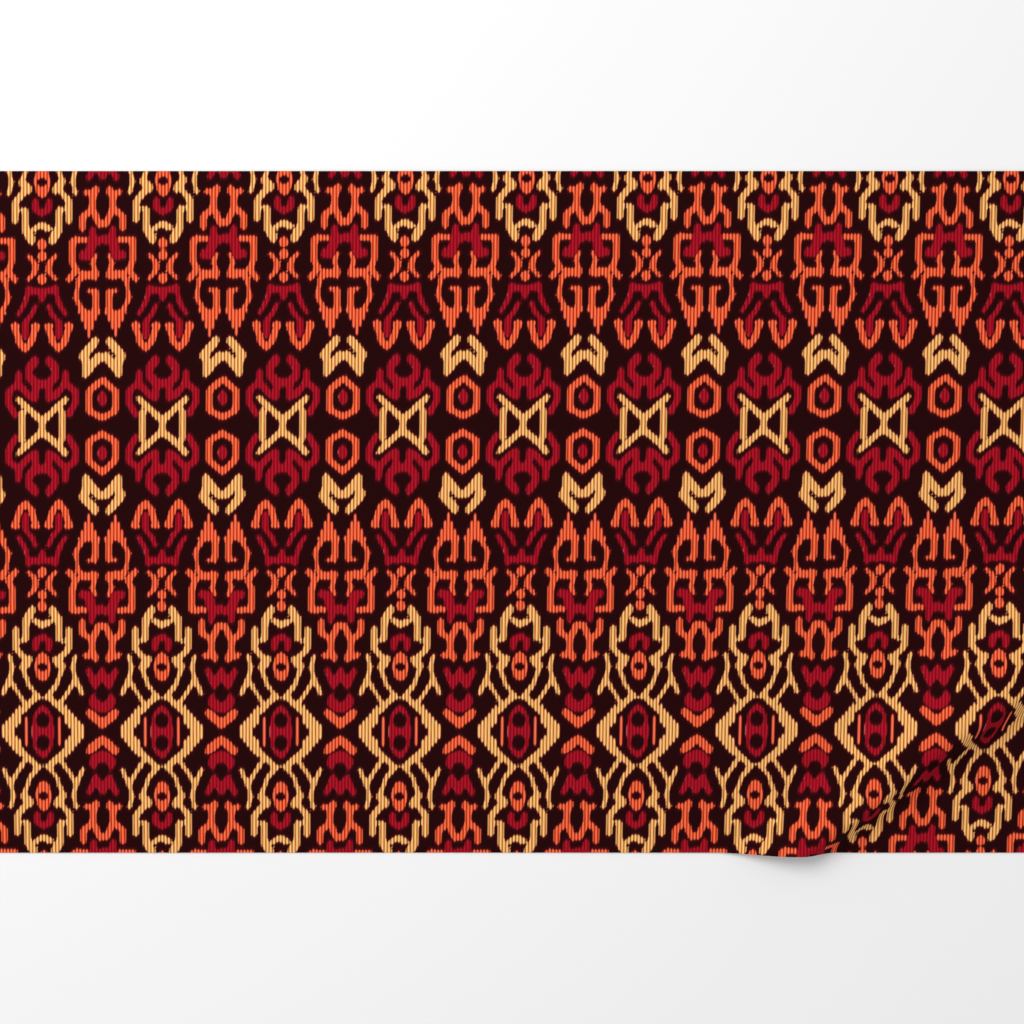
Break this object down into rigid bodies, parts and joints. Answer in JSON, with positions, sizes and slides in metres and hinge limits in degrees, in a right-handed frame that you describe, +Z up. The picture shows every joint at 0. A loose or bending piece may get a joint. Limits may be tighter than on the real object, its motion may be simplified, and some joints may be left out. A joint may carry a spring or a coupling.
{
  "type": "printed batik cloth length",
  "caption": "Cut length of thin cotton printed with a traditional line motif in yellow, orange and crimson on maroon, lying flat with one soft fold across a corner.",
  "frame": {"origin": "on the surface the cloth lies on, under the middle of its outline", "axes": "+X along the long side, +Y towards the back edge, +Z up out of the printed face"},
  "size_m": [0.54, 0.355, 0.015],
  "materials": {
    "printed_cotton": "matt woven cotton with a fine upright line print"
  },
  "bodies": {
    "root": {"cloth": "printed_cotton"}
  },
  "joints": []
}
